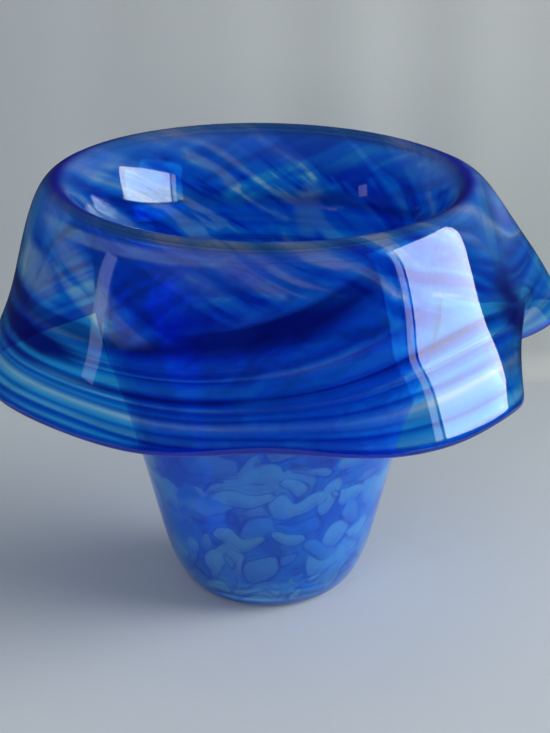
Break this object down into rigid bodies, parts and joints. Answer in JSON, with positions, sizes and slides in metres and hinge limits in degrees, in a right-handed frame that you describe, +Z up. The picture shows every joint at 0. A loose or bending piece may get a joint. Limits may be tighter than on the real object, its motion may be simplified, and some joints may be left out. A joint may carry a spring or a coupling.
{
  "type": "glass vase",
  "caption": "Blown glass vase: a tapered cup on a flat foot, its wide lip turned out and down into a wavy skirt.",
  "frame": {"origin": "centre of the flat foot, on the surface the vase stands on", "axes": "+Z up along the cup's axis, -Y towards the side of the wavy skirt that the picture shows"},
  "size_m": [0.1998, 0.1822, 0.1452],
  "materials": {
    "blue_glass": "glossy mottled cobalt blue glass with pale streaks"
  },
  "bodies": {
    "root": {"vase": "blue_glass"}
  },
  "joints": []
}
